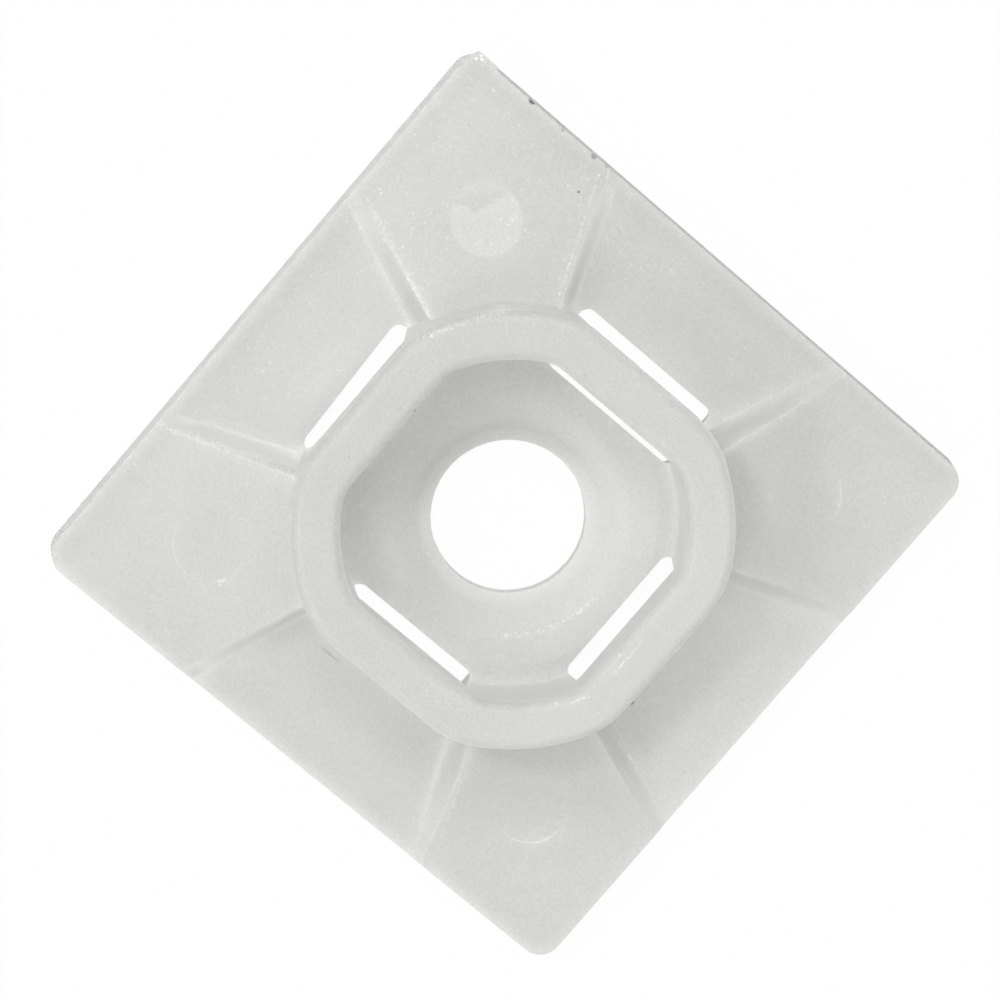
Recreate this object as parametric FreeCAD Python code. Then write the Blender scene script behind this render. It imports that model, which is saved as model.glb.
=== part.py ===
"""Four-way cable tie mount, moulded in one piece.

A square plate with a screw hole in a countersunk hub. A low ring stands round the hub on four
corner posts, and its four straight bars bridge windows through the plate, so that a strap can be
threaded under the bars from any side. A sloped channel leads from each side of the plate down to
its window, and between the channels a flared pad runs from each corner up to the ring.
Millimetres, +Z up, X and Y along the plate's sides, origin in the middle of the underside.
"""
import FreeCAD, Part
import os
from math import atan, cos, hypot, pi, sin, tan

# Plate
plate_side = 20.0
plate_thickness = 1.3
side_draft = 0.1  # how far the top edge lies inside the bottom edge
corner_radius = 0.7

# Hub and screw hole
hub_height = 1.5
screw_hole_diameter = 4.7
screw_land = 0.5  # straight part of the hole, below the countersink
hole_relief = 0.12  # growth of the hole's radius from the land down to the underside
countersink_diameter = 7.1
countersink_depth = 0.5
countersink_round = 0.8  # at its rim

# Ring and its four bars
ring_opening = 9.1  # across the inner flats
ring_wall = 1.5
ring_top = 3.9
bar_underside = 2.7
ring_edge_round = 0.32
inner_corner_blend = 1.0
outer_corner_blend = 3.0

# Window under each bar, left by a core that is drawn out downwards
window_length = 4.7
window_inner_gap = 0.24  # from the bar's inner face to the hub, at the hub's top
window_outer_gap = 0.34  # from the bar's outer face to the channel floor
core_draft = 0.09  # growth of each side per millimetre down
inner_flat_trim = 0.1  # how much shorter than the window the ring's inner flat is
outer_flat_reach = 0.4  # how much longer than the window the ring's outer flat is
window_corner_radius = 0.3
extra_reach_y = 0.35  # how much further the +Y window reaches at its +X end
extra_reach_x = 0.2  # how much further the +X window reaches at its -Y end
outer_edge_slant = 0.2  # how much nearer its bar the -X window's outer edge is at the -Y end

# Channel from each side of the plate
channel_floor_at_window = 0.75
channel_drop_at_edge = 0.1  # how far the channel lies below the plate where it runs out
channel_shoulder = 0.35  # floor left beside each end of the window
channel_mouth = 8.3  # width of the floor at the plate's edge
step_run_at_window = 0.65  # width of the sloped step beside the channel
step_run_at_edge = 0.6
step_setback = 0.42  # extra room beside the two Y channels, on the side towards +X

# Sloped pad at each corner
pad_height = 2.0  # where it meets the fillet at the ring
pad_fillet = 0.15
pad_run_past_edge = 0.6  # the slope meets the plate on a circle this much outside its sides
pad_blend = 0.6  # reach of the blend on both sides of that circle

# Ejector pin marks on the pads
ejector_diameter = 2.25
ejector_gap = 1.3  # from the ring's outer wall to the mark
ejector_depth = 0.015

# Stub of the gate at the corner towards -X and +Y, broken off at a slant
gate_width = 1.0
gate_height = 0.85  # from the plate's top down
gate_inset = 0.1  # from the plate's -X side to the stub
gate_break_on_x_side = 0.4  # where the broken face ends, from the sharp corner
gate_break_on_y_side = 0.28

# Room that the cutting shapes have past the material
overcut = 0.5
overshoot = 3.0  # how far a channel's cutter continues its steps upwards, as a share of their height

half_side = plate_side / 2
inner_half = ring_opening / 2
outer_half = inner_half + ring_wall
inner_radius = hypot(inner_half, (window_length - inner_flat_trim) / 2)
outer_radius = hypot(outer_half, (window_length + outer_flat_reach) / 2)
hub_half = inner_half - window_inner_gap
window_outer_edge = outer_half + window_outer_gap
pad_toe = outer_radius + pad_fillet
pad_end = half_side + pad_run_past_edge
pad_slope = (pad_height - plate_thickness) / (pad_end - pad_toe)


def vec(x, y, z):
    return FreeCAD.Vector(x, y, z)


def turned(shape, degrees):
    """Copy of the shape, turned about the mount's axis."""
    copy = shape.copy()
    copy.rotate(vec(0, 0, 0), vec(0, 0, 1), degrees)
    return copy


def rounded_square(half, radius, height):
    """Closed wire of a square with round corners, at the given height."""
    edges = []
    for quarter in range(4):
        side = Part.LineSegment(vec(radius - half, -half, height), vec(half - radius, -half, height))
        middle = half - radius + radius * sin(pi / 4)
        corner = Part.Arc(
            vec(half - radius, -half, height),
            vec(middle, -middle, height),
            vec(half, radius - half, height),
        )
        edges += [turned(side.toShape(), 90 * quarter), turned(corner.toShape(), 90 * quarter)]
    return Part.Wire(edges)


def flattened_disc(radius, half, blend, bottom, top):
    """Round disc cut by four flats, with the corners between flat and round blended."""
    disc = Part.makeCylinder(radius, top - bottom, vec(0, 0, bottom))
    block = Part.makeBox(2 * half, 2 * half, top - bottom, vec(-half, -half, bottom))
    shape = disc.common(block)
    upright = [e for e in shape.Edges if isinstance(e.Curve, Part.Line) and abs(e.tangentAt(0).z) > 0.5]
    return shape.makeFillet(blend, upright)


def make_plate():
    bottom = rounded_square(half_side, corner_radius, 0)
    top = rounded_square(half_side - side_draft, corner_radius, plate_thickness)
    return Part.makeLoft([bottom, top], True, True)


def make_pads():
    """The four corner pads as one turned shape: a fillet at the ring, a slope and a blend."""
    fillet_middle = pad_fillet * (1 - sin(pi / 4))
    turn = atan(pad_slope)
    blend_rise = (pad_blend / tan(turn / 2)) * (1 / cos(turn / 2) - 1)
    ring_foot = vec(outer_radius, 0, pad_height + pad_fillet)
    toe = vec(pad_toe, 0, pad_height)
    slope_end = vec(pad_end - pad_blend * cos(turn), 0, plate_thickness + pad_blend * sin(turn))
    blend_middle = vec(pad_end + blend_rise * sin(turn / 2), 0, plate_thickness + blend_rise * cos(turn / 2))
    blend_end = vec(pad_end + pad_blend, 0, plate_thickness)
    edges = [
        Part.LineSegment(vec(0, 0, 0), vec(0, 0, ring_foot.z)),
        Part.LineSegment(vec(0, 0, ring_foot.z), ring_foot),
        Part.Arc(ring_foot, vec(outer_radius + fillet_middle, 0, pad_height + fillet_middle), toe),
        Part.LineSegment(toe, slope_end),
        Part.Arc(slope_end, blend_middle, blend_end),
        Part.LineSegment(blend_end, vec(blend_end.x, 0, 0)),
        Part.LineSegment(vec(blend_end.x, 0, 0), vec(0, 0, 0)),
    ]
    face = Part.Face(Part.Wire([edge.toShape() for edge in edges]))
    pads = face.revolve(vec(0, 0, 0), vec(0, 0, 1), 360)
    column = Part.Face(rounded_square(half_side - side_draft, corner_radius, 0))
    return pads.common(column.extrude(vec(0, 0, ring_foot.z)))


def make_channel(left_setback, right_setback):
    """Cutter for the channel on the +Y side: a floor that rises outwards between sloped steps."""
    span = half_side - window_outer_edge
    floor_at_edge = plate_thickness - channel_drop_at_edge
    foot_at_window = window_length / 2 + channel_shoulder
    step_at_window = pad_height - channel_floor_at_window

    def section(distance):
        share = (distance - window_outer_edge) / span
        floor = channel_floor_at_window + share * (floor_at_edge - channel_floor_at_window)
        foot = foot_at_window + share * (channel_mouth / 2 - foot_at_window)
        rise = overshoot * (step_at_window + share * (channel_drop_at_edge - step_at_window))
        run = overshoot * (step_run_at_window + share * (step_run_at_edge - step_run_at_window))
        left = -foot - left_setback
        right = foot + right_setback
        corners = [
            vec(left, distance, floor),
            vec(right, distance, floor),
            vec(right + run, distance, floor + rise),
            vec(left - run, distance, floor + rise),
        ]
        return Part.makePolygon(corners + corners[:1])

    return Part.makeLoft([section(inner_half), section(half_side)], True, True)


def make_window(extra_reach, slant):
    """Cutter for the window under the +Y bar, wider at the bottom, with round corners."""

    def section(height):
        inner = hub_half - core_draft * (hub_height - height)
        outer = window_outer_edge + core_draft * (channel_floor_at_window - height)
        end = window_length / 2 + core_draft * (channel_floor_at_window - height)
        corners = [
            vec(-end, inner, height),
            vec(end + extra_reach, inner, height),
            vec(end + extra_reach, outer, height),
            vec(-end, outer - slant, height),
        ]
        return Part.makePolygon(corners + corners[:1])

    cutter = Part.makeLoft([section(-overcut), section(bar_underside)], True, True)
    upright = [edge for edge in cutter.Edges if abs(edge.tangentAt(edge.FirstParameter).z) > 0.5]
    return cutter.makeFillet(window_corner_radius, upright)


def make_screw_hole():
    """Cutter for the hole: a shallow countersink, a straight land and a flare down to the underside."""
    hole_radius = screw_hole_diameter / 2
    sink_floor = hub_height - countersink_depth
    land = Part.makeCylinder(hole_radius, hub_height + overcut, vec(0, 0, -overcut))
    sink = Part.makeCone(hole_radius, countersink_diameter / 2, countersink_depth, vec(0, 0, sink_floor))
    flare = Part.makeCone(hole_radius + hole_relief, hole_radius, sink_floor - screw_land)
    return land.fuse(sink).fuse(flare)


def make_ejector_mark():
    """Shallow disc on the pad towards +X, square to the pad's slope."""
    distance = outer_radius + ejector_gap + ejector_diameter / 2
    surface = vec(distance, 0, pad_height - pad_slope * (distance - pad_toe))
    normal = vec(pad_slope, 0, 1).normalize()
    return Part.makeCylinder(ejector_diameter / 2, overcut, surface - normal * ejector_depth, normal)


def make_gate():
    """Stub that fills out the round corner up to its broken face, flush with the plate's top."""
    left = gate_inset - half_side
    gate_underside = plate_thickness - gate_height
    corners = [
        vec(left, half_side - gate_width, gate_underside),
        vec(left, half_side - gate_break_on_x_side, gate_underside),
        vec(gate_break_on_y_side - half_side, half_side, gate_underside),
        vec(gate_width - half_side, half_side, gate_underside),
        vec(gate_width - half_side, half_side - gate_width, gate_underside),
    ]
    return Part.Face(Part.makePolygon(corners + corners[:1])).extrude(vec(0, 0, gate_height))


def ring_rims(body):
    """Edges of the ring's top face."""
    return [edge for edge in body.Edges if edge.BoundBox.ZMin > ring_top - 1e-6]


def countersink_rim(body):
    """Circle in which the countersink meets the hub's top."""
    return [
        edge
        for edge in body.Edges
        if isinstance(edge.Curve, Part.Circle)
        and abs(edge.Curve.Radius - countersink_diameter / 2) < 1e-6
        and abs(edge.Curve.Center.z - hub_height) < 1e-6
    ]


def make_mount():
    body = make_plate().fuse(make_pads())
    for quarter, left, right in ((0, 0, step_setback), (1, 0, 0), (2, step_setback, 0), (3, 0, 0)):
        body = body.cut(turned(make_channel(left, right), 90 * quarter))
    body = body.fuse(flattened_disc(outer_radius, outer_half, outer_corner_blend, 0, ring_top))
    body = body.cut(flattened_disc(inner_radius, inner_half, inner_corner_blend, hub_height, ring_top + overcut))
    body = body.makeFillet(ring_edge_round, ring_rims(body))
    body = body.cut(make_screw_hole())
    body = body.makeFillet(countersink_round, countersink_rim(body))
    windows = ((extra_reach_y, 0), (0, outer_edge_slant), (0, 0), (extra_reach_x, 0))
    for quarter, (extra_reach, slant) in enumerate(windows):
        body = body.cut(turned(make_window(extra_reach, slant), 90 * quarter))
        body = body.cut(turned(make_ejector_mark(), 45 + 90 * quarter))
    return body.fuse(make_gate()).removeSplitter()


mount = make_mount()
os.makedirs("parts", exist_ok=True)
mount.exportStep("parts/tie_mount.step")
box = mount.optimalBoundingBox()
print("valid", mount.isValid(), "solids", len(mount.Solids), "faces", len(mount.Faces))
print("size", round(box.XLength, 3), round(box.YLength, 3), round(box.ZLength, 3))
print("volume", round(mount.Volume, 2))
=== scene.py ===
import math
import bmesh
import bpy
from mathutils import Matrix, Vector

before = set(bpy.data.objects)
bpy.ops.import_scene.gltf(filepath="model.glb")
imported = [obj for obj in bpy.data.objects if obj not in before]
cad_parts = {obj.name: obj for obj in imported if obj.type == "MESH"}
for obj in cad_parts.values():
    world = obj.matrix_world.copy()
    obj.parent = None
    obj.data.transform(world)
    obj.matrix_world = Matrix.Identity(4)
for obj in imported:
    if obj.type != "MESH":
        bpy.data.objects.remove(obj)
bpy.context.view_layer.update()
mm = 0.001
print("frame loaded")


# A socket that can be used in expressions
class Wire:
    def __init__(self, tree, socket=None):
        self.tree = tree
        self.socket = socket

    def node(self, kind, settings=None, inputs=None, out=0):
        made = self.tree.nodes.new(kind)
        for key, value in (settings or {}).items():
            if key == "stops":
                for spot, shade in value:
                    stop = made.color_ramp.elements.new(spot)
                    stop.color = (shade, shade, shade, 1)
                made.color_ramp.elements.remove(made.color_ramp.elements[0])
                made.color_ramp.elements.remove(made.color_ramp.elements[-1])
            else:
                setattr(made, key, value)
        for key, value in (inputs or {}).items():
            if isinstance(value, Wire):
                self.tree.links.new(value.socket, made.inputs[key])
            else:
                made.inputs[key].default_value = value
        return Wire(self.tree, made.outputs[out]) if made.outputs else None

    def calc(self, operation, first, second=0.0):
        return self.node("ShaderNodeMath", {"operation": operation}, {0: first, 1: second})

    def vector(self, operation, first, second, out):
        return self.node("ShaderNodeVectorMath", {"operation": operation}, {0: first, 1: second}, out)

    def mix(self, share, first, second, blend="MIX"):  # of two colours
        settings = {"data_type": "RGBA", "blend_type": blend}
        return self.node("ShaderNodeMix", settings, {0: share, 6: first, 7: second}, 2)

    def along(self, axis):  # X, Y or Z of a vector
        return self.node("ShaderNodeSeparateXYZ", None, {"Vector": self}, axis)

    def __add__(self, other):
        return self.calc("ADD", self, other)

    def __radd__(self, other):
        return self.calc("ADD", other, self)

    def __sub__(self, other):
        return self.calc("SUBTRACT", self, other)

    def __rsub__(self, other):
        return self.calc("SUBTRACT", other, self)

    def __mul__(self, other):
        return self.calc("MULTIPLY", self, other)

    def __rmul__(self, other):
        return self.calc("MULTIPLY", other, self)

    def __truediv__(self, other):
        return self.calc("DIVIDE", self, other)

    def __pow__(self, other):
        return self.calc("POWER", self, other)

    def over(self, low, high):  # 0 below low, 1 above high, smooth between
        return self.node(
            "ShaderNodeMapRange",
            {"interpolation_type": "SMOOTHSTEP"},
            {"Value": self, "From Min": low, "From Max": high},
        )

    def under(self, low, high):  # 1 below low, 0 above high
        return self.over(high, low)


def newMaterial(name):
    made = bpy.data.materials.new(name)
    made.use_nodes = True
    made.node_tree.nodes.clear()
    return made, Wire(made.node_tree)


def finishMaterial(wire, surface):
    wire.node("ShaderNodeOutputMaterial", None, {"Surface": surface})


nylon = {
    "colour": (0.71, 0.71, 0.705, 1),
    "paleColour": (0.97, 0.97, 0.965, 1),  # painted light through the nylon, painted highlights and glints, and the whitened ejector mark
    # for dust, pits, dark lines and painted shade
    "dirtAndShadeColour": (0.05, 0.05, 0.05, 1),
    "roughness": 0.58,
    "fleckPolish": 0.3,  # how much smoother the flecks are
    "ior": 1.53,
    "glow": 1.0,  # share of the light that travels inside
    "glowDepth": 0.5 * mm,
    "grainPerMetre": 11000,
    "grainRoughness": 0.65,
    "grainHeight": 0.008 * mm,
    "grainShade": 0.21,
    "cloudPerMetre": 420,
    "cloudRoughness": 0.5,
    "cloudShade": 0.05,
    "noiseDetail": 1,
}

# Painted light: how much paler the base colour is made where light coming through the nylon from several
# sides would brighten it
paintedLightPlaces = {
    "step": 0.6,
    "rightStepFade": 0.7,  # how far this is held back on the steps towards +X
    "wall": 0.7,  # of the ring
    "shadedWall": 0.6,  # share of that on walls that face away from the light inside
    "shadedEdge": 0.1,  # and on the ring's top edge
    "window": 0.2,
    "windowLeft": 1.2,  # strength beside the window towards -X, falling by 1 to the one towards +X
    "plateSide": 0.4,
    "leftEdge": 0.1,
    "rightRing": 0.12,
    "hub": 0.13,
}

# Painted shade: how much darker the base colour is made in other places
paintedShadePlaces = {
    "countersink": 0.2,  # on its shaded side
    "litEdge": 0.07,  # of the ring, holding back its highlight
    "leftSide": 0.07,  # of the plate
    "farSide": 0.07,
    "lee": 0.045,  # painted shadow on the pads behind the ring, away from the light
}

# Soft edges of those places in millimetres, as distances from the axis
reach = {
    "hole": (2.4, 3.2),
    "rimInner": (3.46, 3.54),
    "rimOuter": (3.58, 3.66),
    "ringInside": (3.6, 3.8),
    "hub": (4.4, 4.6),
    "steps": (6, 11),
    "ringFoot": (6.4, 6.7),
    "window": (6.5, 8),
    "leeStart": (7.0, 8.2),
    "ringOutside": (7.2, 7.8),
    "leeEnd": (9, 11),
    "plateSide": (9.7, 9.9),
}

# As heights above the base
height = {
    "cone": (0.9, 1.1),
    "channel": (1.1, 1.2),
    "rim": (1.3, 1.4),
    "pad": (1.35, 1.6),
    "step": (1.5, 1.7),
    "hub": (1.55, 1.7),
    "padTop": (2.0, 2.2),
    "ringEdge": (3.4, 3.6),
    "ringFlecks": (3.5, 3.6),
    "ringTop": (3.5, 3.8),
}

# As X and Y
acrossX = {
    "leftSide": (-9.95, -8.9),
    "leftEdge": (-9, -6.5),
    "hub": (-4, 4),
    "leftSteps": (-4, -2),
    "windows": (-3, 5),
    "rightSteps": (0, 5),
    "rightRing": (2, 5),
    "rightPads": (2.5, 5),
}
acrossY = {
    "lowerSteps": (-1, 1),
    "farSide": (8.8, 10),
    "farDust": (9.7, 9.85),
}
shadedSide = (0, 3)  # of the countersink, as y - x

# And as how far the surface faces up
facesUp = {
    "notUpright": (0.05, 0.2),
    "upright": (0.15, 0.45),
    "litEdgeLow": (0.2, 0.5),
    "topEdge": (0.3, 0.96),
    "fleckEdge": (0.9, 0.985),
    "litEdgeHigh": (0.9, 0.99),
    "notLevel": (0.03, 0.12),  # counted down from 1
}

# Or towards +X
facesRight = {
    "fromLight": (-0.35, 0.2),
    "towardsLight": (-0.5, 0),
    "leftSide": (-0.9, -0.5),
}

# Small flecks: the pale ones are painted glints, most of them faint, and the dark ones are soot along the
# +Y side
flecks = {
    "coarsePerMetre": 5200,
    "coarseFrom": 0.95,
    "finePerMetre": 9500,
    "fineFrom": 0.3,
    "sootFrom": 0.8,
    "sootStrength": 0.8,
    "chanceEdge": 0.01,
    "size": (0.1, 0.38),
    "faintest": 0.08,
    "faintPower": 4,  # the higher, the fewer strong ones
    "ragged": 0.06 * mm,
    "side": (-4, 14),  # how they gather towards -X and +Y, as y - x
    "gathered": (0.35, 0.6),
    "everywhere": 0.15,
    "onRingEdge": 0.35,
    "onHighlights": 4,
    "most": 0.9,
}

# Painted highlights: pale lines along edges that the light catches, glints and sparkle on the ring's edges,
# as x and y of both ends, half the width and the strength, in millimetres
highlightLines = {
    "leftLower": ((-9.8, -4.56), (-5.83, -3.0), 0.14, 0.25),
    "leftUpper": ((-9.6, 4.62), (-5.73, 3.11), 0.1, 0.25),
    "topLeft": ((-4.73, 9.63), (-3.24, 5.84), 0.06, 0.35),
    "bottomRight": ((4.87, -8.91), (3.8, -6.2), 0.06, 0.15),
    "rightLower": ((8.17, -3.42), (6.48, -2.99), 0.07, 0.25),
    "padGlint": ((-5.50, -7.06), (-5.25, -6.74), 0.06, 1.0),
    "farPadGlint": ((7.14, -7.20), (7.40, -6.75), 0.06, 0.3),
    "innerEdgeGlint": ((4.58, -2.80), (4.93, -2.21), 0.05, 0.7),
    "innerFlecks": ((4.98, -1.37), (5.01, -0.04), 0.07, 0.4),
    "ringHaze": ((0.92, -5.14), (2.47, -4.91), 0.4, 0.13),
    "ringCornerLow": ((-5.91, 2.48), (-5.05, 3.97), 0.08, 0.4),
    "ringCornerHigh": ((-5.05, 3.97), (-4.36, 4.94), 0.08, 0.4),
}

# Dark lines, in the same way
darkLines = {
    "ringFoot": ((-1.74, -6.73), (-0.96, -6.73), 0.05, 0.2),
}

# Dust, pits, a faint darker patch on the ejector mark towards -X and -Y, and painted shade in the dark
# corner of the +X window, as x, y, z, radius and strength, in millimetres
dustAndShadeSpots = {
    "channelSpeck": (-8.96, 2.79, 1.17, 0.06, 0.7),
    "sideSpeckA": (-9.04, 9.95, 1.2, 0.09, 0.7),
    "sideSpeckB": (-7.61, 9.94, 1.25, 0.17, 0.9),
    "sideSpeckC": (-6.89, 9.95, 1.2, 0.1, 0.7),
    "sideSpeckD": (-6.37, 9.86, 1.3, 0.08, 0.3),
    "sideSpeckE": (-5.16, 9.87, 1.3, 0.12, 0.5),
    "sideSpeckF": (-4.69, 9.9, 1.25, 0.1, 0.4),
    "cornerSpeck": (-6.88, 9.17, 1.4, 0.05, 0.3),
    "ejectorPatch": (-6.4, -6.35, 1.6, 1.2, 0.02),
    "padSpeck": (-4.83, 8.78, 1.42, 0.05, 0.8),
    "padPit": (-4.52, 8.43, 1.43, 0.045, 0.3),
    "ringSpeck": (-4.56, 0.87, 3.72, 0.09, 0.5),
    "ringPitA": (-4.98, 0.67, 3.9, 0.06, 0.12),
    "ringPitB": (-5.18, -1.39, 3.9, 0.06, 0.12),
    "ringPitC": (-4.83, -1.09, 3.9, 0.06, 0.1),
    "ringPitD": (-1.48, 4.85, 3.9, 0.06, 0.15),
    "ringPitE": (-4.72, 1.04, 3.9, 0.06, 0.2),
    # painted shade: the dark corner of the +X window beside the ring
    "windowCornerShade": (6.69, -1.96, 0.78, 0.11, 0.7),
}
mostDirtAndShade = 0.9

# Painted glints: small bright spots, in the same way
glints = {
    "padGlintDot": (-5.36, -7.07, 1.6, 0.05, 0.7),
    "edgeDot": (9.17, 3.76, 1.3, 0.06, 0.9),
    "gateA": (-9.67, 9.77, 1.3, 0.06, 1.0),
    "gateB": (-9.53, 9.86, 1.3, 0.07, 1.0),
    "gateC": (-9.62, 9.94, 1.3, 0.06, 0.8),
    "innerA": (0.55, -5.02, 3.85, 0.07, 0.8),
    "innerB": (2.48, -4.82, 3.85, 0.06, 0.8),
    "innerC": (4.27, -3.09, 3.85, 0.07, 0.7),
    "innerD": (4.93, -2.22, 3.85, 0.06, 0.8),
    "innerE": (4.78, -0.78, 3.85, 0.07, 0.6),
}

# Painted highlight: the broken pale line on the countersink's upper edge
rimHighlight = {
    "towards": (0.883, -0.469),
    "arc": (0.86, 0.92),
    "broken": (0.5, 0.62),
    "strength": 0.5,
}

# The ejector mark towards -X and +Y is whitened, up to an uneven line across it
whitened = {
    "centre": (-6.38, 6.38),
    "radius": 1.12,
    "edge": 0.1,
    "downwards": (0.65, -0.76),
    "border": ((0.06, 0.45), (0.22, 0.47), (0.36, 0.24), (0.5, 0.42), (0.79, 0.84), (0.94, 0.75)),
    "borderScale": 0.4,  # of the mark's width on the border's own scale
    "borderMiddle": 0.5,
    "uneven": 0.25,
    "strength": 0.26,
    "grainLeast": 0.6,
    "grainShare": 0.8,
}

# How far the marks reach at full strength, as a share of their half width, and how they end
softness = {
    "lineCore": 0.4,
    "spotCore": 0.5,
    "endBefore": 0.2,
    "endAfter": 0.1,
    "brokenHighlights": (0.35, 0.62),  # the grain that breaks up the painted highlight lines
}


def fleckMask(wire, place, perMetre, threshold):  # round flecks of uneven strength
    pattern = {"Vector": place, "Scale": perMetre}
    middle = wire.node("ShaderNodeTexVoronoi", None, pattern, "Distance")
    cells = wire.node("ShaderNodeTexVoronoi", None, pattern, "Color")
    chance = wire.node("ShaderNodeSeparateColor", None, {"Color": cells}, "Red")
    power = wire.node("ShaderNodeSeparateColor", None, {"Color": cells}, "Green")
    strength = flecks["faintest"] + (1 - flecks["faintest"]) * power ** flecks["faintPower"]
    chosen = chance.over(threshold, threshold + flecks["chanceEdge"])
    return chosen * middle.under(*flecks["size"]) * strength


def nearLine(wire, place, start, end, width):
    length = math.dist(start, end)
    alongX = (end[0] - start[0]) / length
    alongY = (end[1] - start[1]) / length
    middle = ((start[0] + end[0]) / 2 * mm, (start[1] + end[1]) / 2 * mm, 0)
    fromMiddle = wire.vector("SUBTRACT", place, middle, "Vector")
    along = wire.calc("ABSOLUTE", wire.vector("DOT_PRODUCT", fromMiddle, (alongX, alongY, 0), "Value"))
    across = wire.calc("ABSOLUTE", wire.vector("DOT_PRODUCT", fromMiddle, (-alongY, alongX, 0), "Value"))
    fadesFrom = (length / 2 - softness["endBefore"]) * mm
    fadesTo = (length / 2 + softness["endAfter"]) * mm
    return across.under(width * softness["lineCore"] * mm, width * mm) * along.under(fadesFrom, fadesTo)


def nearSpot(wire, place, spot, radius):
    point = tuple(value * mm for value in spot)
    away = wire.vector("DISTANCE", place, point, "Value")
    return away.under(radius * softness["spotCore"] * mm, radius * mm)


def lineMarks(wire, place, lines):
    total = 0
    for start, end, width, strength in lines.values():
        total = total + nearLine(wire, place, start, end, width) * strength
    return total


def spotMarks(wire, place, spots):
    total = 0
    for x, y, z, radius, strength in spots.values():
        total = total + nearSpot(wire, place, (x, y, z), radius) * strength
    return total


def readPlace(wire):  # where the surface is, in millimetres, and how it is turned
    place = wire.node("ShaderNodeTexCoord", None, None, "Object")
    facing = wire.node("ShaderNodeTexCoord", None, None, "Normal")
    x = place.along("X") * (1 / mm)
    y = place.along("Y") * (1 / mm)
    z = place.along("Z") * (1 / mm)
    fromAxis = (x * x + y * y) ** 0.5
    return place, x, y, z, fromAxis, facing.along("X"), facing.along("Z")


# painted shade: darker base colour on the countersink's shaded side, the ring's lit edge, the -X and +Y
# sides and the pads behind the ring
def paintedShadeShare(spot):
    x, y, z, fromAxis, facingX, facingUp = spot
    countersink = (y - x).over(*shadedSide) * fromAxis.under(*reach["hole"]) * z.over(*height["cone"])
    litEdge = facingUp.over(*facesUp["litEdgeLow"]) * facingUp.under(*facesUp["litEdgeHigh"])
    litEdge = litEdge * facingX.under(*facesRight["towardsLight"]) * z.over(*height["ringEdge"])
    lee = z.over(*height["pad"]) * fromAxis.over(*reach["leeStart"]) * fromAxis.under(*reach["leeEnd"])
    masks = {
        "countersink": countersink,
        "litEdge": litEdge,
        "leftSide": x.under(*acrossX["leftSide"]),
        "farSide": y.over(*acrossY["farSide"]),
        "lee": lee * x.over(*acrossX["rightPads"]),
    }
    share = 1
    for name, mask in masks.items():
        share = share * (1 - mask * paintedShadePlaces[name])
    return share


# painted light: paler base colour on the steps, the ring's walls, beside the windows, at the plate's edges
# and on the hub
def paintedLightShare(wire, spot):
    x, y, z, fromAxis, facingX, facingUp = spot
    fromLight = facingX.over(*facesRight["fromLight"])
    step = (1 - facingUp).over(*facesUp["notLevel"]) * facingUp.over(*facesUp["notUpright"])
    step = step * fromAxis.over(*reach["ringFoot"]) * z.under(*height["padTop"])
    heldBack = 1 - x.over(*acrossX["rightSteps"]) * paintedLightPlaces["rightStepFade"]
    leftLower = x.under(*acrossX["leftSteps"]) * y.under(*acrossY["lowerSteps"])
    leftLower = leftLower * z.under(*height["step"]) * fromAxis.under(*reach["steps"])
    shadedWall = paintedLightPlaces["shadedWall"]
    shadedEdge = paintedLightPlaces["shadedEdge"]
    sideWall = facingUp.under(*facesUp["upright"]) * (shadedWall + (1 - shadedWall) * fromLight)
    topEdge = facingUp.under(*facesUp["topEdge"]) * z.over(*height["ringEdge"])
    topEdge = topEdge * (shadedEdge + (1 - shadedEdge) * fromLight)
    onRing = fromAxis.over(*reach["ringInside"]) * fromAxis.under(*reach["ringOutside"])
    window = z.under(*height["channel"]) * fromAxis.under(*reach["window"])
    hub = fromAxis.under(*reach["hub"]) * z.under(*height["hub"])
    masks = {
        "step": step * wire.calc("MAXIMUM", fromLight * heldBack, leftLower),
        "wall": wire.calc("MAXIMUM", sideWall, topEdge) * onRing,
        "window": window * (paintedLightPlaces["windowLeft"] - x.over(*acrossX["windows"])),
        "plateSide": facingX.under(*facesRight["leftSide"]) * fromAxis.over(*reach["plateSide"]),
        "leftEdge": x.under(*acrossX["leftEdge"]),
        "rightRing": z.over(*height["ringTop"]) * x.over(*acrossX["rightRing"]),
        "hub": hub * x.over(*acrossX["hub"]),
    }
    share = 0
    for name, mask in masks.items():
        share = share + mask * paintedLightPlaces[name]
    return share


# painted highlight along the countersink's rim
def rimHighlightMarks(spot, grain):
    x, y, z, fromAxis, facingX, facingUp = spot
    towardsX, towardsY = rimHighlight["towards"]
    onRim = fromAxis.over(*reach["rimInner"]) * fromAxis.under(*reach["rimOuter"]) * z.over(*height["rim"])
    onArc = ((x * towardsX + y * towardsY) / (fromAxis + 0.01)).over(*rimHighlight["arc"])
    return onRim * onArc * grain.over(*rimHighlight["broken"]) * rimHighlight["strength"]


def whitening(wire, x, y, grain):
    fromMarkX = x - whitened["centre"][0]
    fromMarkY = y - whitened["centre"][1]
    downX, downY = whitened["downwards"]
    down = fromMarkX * downX + fromMarkY * downY
    across = fromMarkX * -downY + fromMarkY * downX
    onScale = across * whitened["borderScale"] + whitened["borderMiddle"]
    border = wire.node("ShaderNodeValToRGB", {"stops": whitened["border"]}, {"Fac": onScale})
    below = (down + (grain - 0.5) * whitened["uneven"] + border).over(-whitened["edge"], whitened["edge"])
    away = (fromMarkX**2 + fromMarkY**2) ** 0.5
    inside = away.under(whitened["radius"] - whitened["edge"], whitened["radius"])
    grainy = whitened["grainLeast"] + whitened["grainShare"] * grain
    return inside * below * whitened["strength"] * grainy


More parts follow.
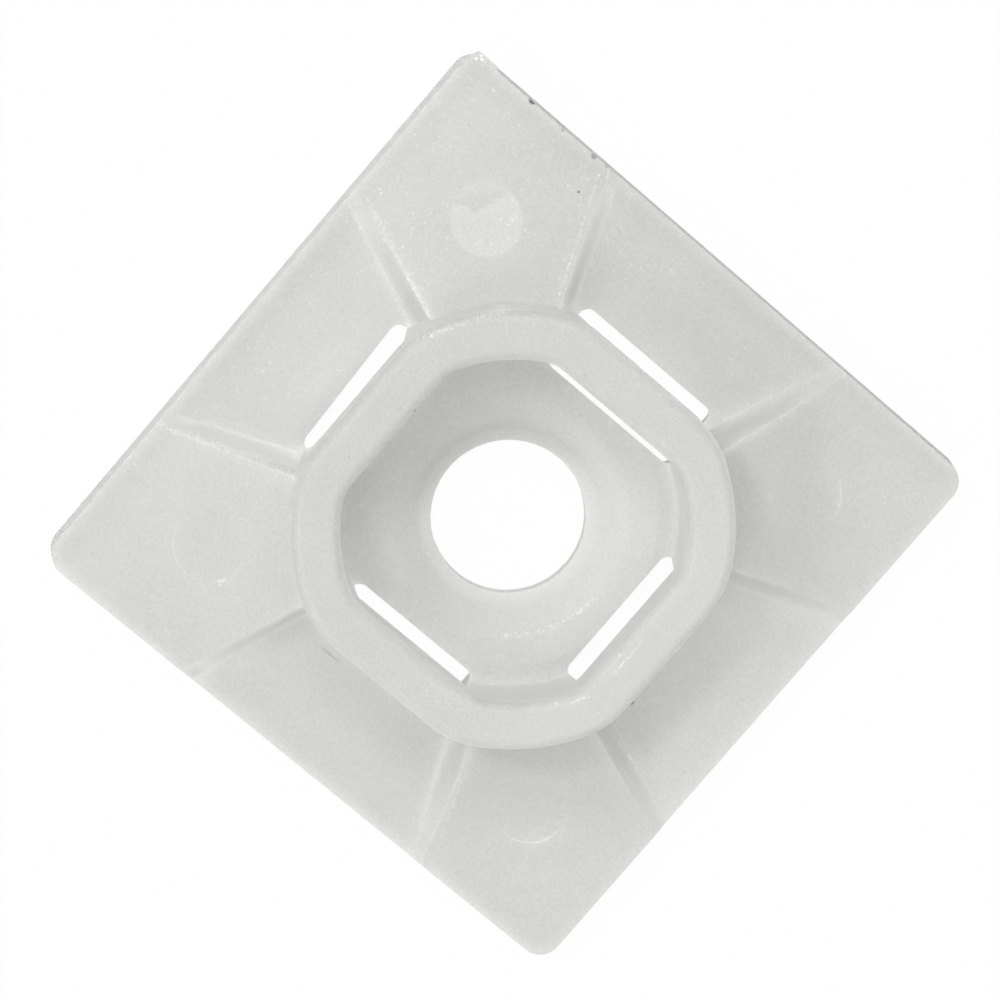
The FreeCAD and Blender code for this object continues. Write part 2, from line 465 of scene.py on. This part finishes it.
# painted glints: pale flecks, more of them towards -X and +Y, on the ring's top edge and along the
# highlight lines
def paintedGlintShare(wire, place, spot, cloud, highlightMarks):
    x, y, z, fromAxis, facingX, facingUp = spot
    coarse = fleckMask(wire, place, flecks["coarsePerMetre"], flecks["coarseFrom"])
    fine = fleckMask(wire, place, flecks["finePerMetre"], flecks["fineFrom"])
    gathered = (y - x).over(*flecks["side"]) * cloud.over(*flecks["gathered"])
    ringEdge = facingUp.under(*facesUp["fleckEdge"]) * z.over(*height["ringFlecks"])
    often = flecks["everywhere"] + (1 - flecks["everywhere"]) * gathered
    often = often + ringEdge * flecks["onRingEdge"] + highlightMarks * flecks["onHighlights"]
    return wire.calc("MINIMUM", (coarse + fine) * often, flecks["most"])


def noise(wire, place, perMetre, roughness):
    inputs = {"Vector": place, "Scale": perMetre, "Detail": nylon["noiseDetail"], "Roughness": roughness}
    return wire.node("ShaderNodeTexNoise", None, inputs)


def nylonMaterial():
    made, wire = newMaterial("milkyNylon")
    place, *spot = readPlace(wire)
    x, y = spot[:2]
    grain = noise(wire, place, nylon["grainPerMetre"], nylon["grainRoughness"])
    cloud = noise(wire, place, nylon["cloudPerMetre"], nylon["cloudRoughness"])
    shade = 1 + (cloud - 0.5) * nylon["cloudShade"] + (grain - 0.5) * nylon["grainShade"]
    # the painted shade darkens the colour here
    colour = wire.mix(1.0, nylon["colour"], shade * paintedShadeShare(spot), "MULTIPLY")

    # The flecks are pushed about a little, so that they aren't round
    push = wire.node("ShaderNodeCombineXYZ", None, {"X": grain, "Y": grain, "Z": cloud})
    pushed = wire.node(
        "ShaderNodeVectorMath",
        {"operation": "MULTIPLY_ADD"},
        {0: push, 1: (flecks["ragged"],) * 3, 2: place},
    )
    highlightMarks = lineMarks(wire, place, highlightLines)
    fleck = paintedGlintShare(wire, pushed, spot, cloud, highlightMarks)
    # painted light, painted highlights and glints, and the whitened ejector mark make the colour paler
    pale = paintedLightShare(wire, spot) + highlightMarks * grain.over(*softness["brokenHighlights"])
    pale = pale + rimHighlightMarks(spot, grain) + spotMarks(wire, place, glints)
    pale = pale + fleck + whitening(wire, x, y, grain)
    colour = wire.mix(wire.calc("MINIMUM", pale, 1.0), colour, nylon["paleColour"])

    # soot along the +Y side, dark lines, dust and pits, and painted shade in the +X window's corner darken
    # the colour
    darkMarks = fleckMask(wire, pushed, flecks["coarsePerMetre"], flecks["sootFrom"])
    darkMarks = darkMarks * y.over(*acrossY["farDust"]) * flecks["sootStrength"]
    darkMarks = darkMarks + lineMarks(wire, place, darkLines) + spotMarks(wire, place, dustAndShadeSpots)
    colour = wire.mix(wire.calc("MINIMUM", darkMarks, mostDirtAndShade), colour, nylon["dirtAndShadeColour"])

    bump = wire.node(
        "ShaderNodeBump",
        None,
        {"Height": grain, "Distance": nylon["grainHeight"], "Strength": 1.0},
    )
    surface = wire.node(
        "ShaderNodeBsdfPrincipled",
        {"subsurface_method": "BURLEY"},  # much faster here than a random walk
        {
            "Base Color": colour,
            "Roughness": nylon["roughness"] - fleck * nylon["fleckPolish"],
            "IOR": nylon["ior"],
            "Subsurface Weight": nylon["glow"],
            "Subsurface Radius": (1, 1, 1),
            "Subsurface Scale": nylon["glowDepth"],
            "Normal": bump,
        },
    )
    finishMaterial(wire, surface)
    return made


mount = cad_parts["tie_mount"]
mount.data.materials.clear()
mount.data.materials.append(nylonMaterial())
print("nylon done")

stage = {
    "floorSize": 0.6,
    "floorDrop": 0.01 * mm,  # below the part
    "floorColour": (0.93, 0.93, 0.93, 1),
    "whiteShare": 0.97,  # how much of what the camera sees of the floor is plain white
    "skyLight": 0.185,
}

# Lamps as degrees round from +X, degrees up, strength and spread in degrees
lamps = {
    "key": (180, 50, 0.357, 12),
    "keyLow": (180, 35, 0.244, 16),
    "keyUpper": (135, 47, 0.338, 20),
    "keyLower": (225, 28, 0.263, 20),
    "top": (0, 90, 0.7, 60),
    "bottom": (270, 50, 0.31, 30),
    "lowBottom": (270, 22, 0.451, 30),
    "lowRight": (0, 22, 0.263, 30),
    "upper": (90, 50, 0.282, 30),
    "lowUpper": (90, 22, 0.263, 30),
}


def whiteRays(wire):  # camera, glossy and transmission rays
    camera = wire.node("ShaderNodeLightPath", None, None, "Is Camera Ray")
    glossy = wire.node("ShaderNodeLightPath", None, None, "Is Glossy Ray")
    through = wire.node("ShaderNodeLightPath", None, None, "Is Transmission Ray")
    return wire.calc("MINIMUM", camera + glossy + through, 1.0)


def buildFloor():
    mesh = bpy.data.meshes.new("floor")
    shape = bmesh.new()
    bmesh.ops.create_grid(shape, x_segments=1, y_segments=1, size=stage["floorSize"] / 2)
    bmesh.ops.translate(shape, verts=shape.verts, vec=(0, 0, -stage["floorDrop"]))
    shape.to_mesh(mesh)
    shape.free()
    floor = bpy.data.objects.new("floor", mesh)
    bpy.context.scene.collection.objects.link(floor)
    made, wire = newMaterial("paleFloor")
    matt = wire.node("ShaderNodeBsdfDiffuse", None, {"Color": stage["floorColour"]})
    white = wire.node("ShaderNodeEmission", None, {"Color": (1, 1, 1, 1), "Strength": 1.0})
    share = whiteRays(wire) * stage["whiteShare"]
    finishMaterial(wire, wire.node("ShaderNodeMixShader", None, {0: share, 1: matt, 2: white}))
    mesh.materials.append(made)


def buildSky():
    world = bpy.data.worlds.new("studio")
    world.use_nodes = True
    world.node_tree.nodes.clear()
    wire = Wire(world.node_tree)
    soft = wire.node("ShaderNodeBackground", None, {"Color": (1, 1, 1, 1), "Strength": stage["skyLight"]})
    white = wire.node("ShaderNodeBackground", None, {"Color": (1, 1, 1, 1), "Strength": 1.0})
    seen = wire.node("ShaderNodeLightPath", None, None, "Is Camera Ray")
    both = wire.node("ShaderNodeMixShader", None, {0: seen, 1: soft, 2: white})
    wire.node("ShaderNodeOutputWorld", None, {"Surface": both})
    bpy.context.scene.world = world


def buildLamps():
    for name, (compass, rise, strength, spread) in lamps.items():
        light = bpy.data.lights.new(name, "SUN")
        light.energy = strength
        light.angle = math.radians(spread)
        lamp = bpy.data.objects.new(name, light)
        turn = Matrix.Rotation(math.radians(compass), 3, "Z") @ Matrix.Rotation(math.radians(-rise), 3, "Y")
        towards = turn @ Vector((1, 0, 0))
        lamp.rotation_euler = towards.to_track_quat("Z", "Y").to_euler()
        bpy.context.scene.collection.objects.link(lamp)


buildFloor()
buildSky()
buildLamps()
print("stage done")

view = {
    "tiltX": 9.672,  # degrees the part is turned about the camera's axes
    "tiltY": 3.710,
    "turn": -40.678,
    "aside": (0.182, -0.338),  # the part's place across the view, in millimetres
    "away": 96.10,
    "lens": 113.4,
    "sensor": 36,
    "nearest": 1 * mm,
    "farthest": 10,
}


def buildCamera():
    lens = bpy.data.cameras.new("camera")
    lens.sensor_fit = "HORIZONTAL"
    lens.sensor_width = view["sensor"]
    lens.lens = view["lens"]
    lens.clip_start = view["nearest"]
    lens.clip_end = view["farthest"]
    camera = bpy.data.objects.new("camera", lens)
    tilted = (
        Matrix.Rotation(math.radians(view["tiltX"]), 4, "X")
        @ Matrix.Rotation(math.radians(view["tiltY"]), 4, "Y")
        @ Matrix.Rotation(math.radians(view["turn"]), 4, "Z")
    )
    x, y = view["aside"]
    partInView = Matrix.Translation((x * mm, y * mm, -view["away"] * mm)) @ tilted
    camera.matrix_world = partInView.inverted()
    bpy.context.scene.collection.objects.link(camera)
    bpy.context.scene.camera = camera


buildCamera()
bpy.context.scene.view_settings.view_transform = "Standard"
print("camera done")
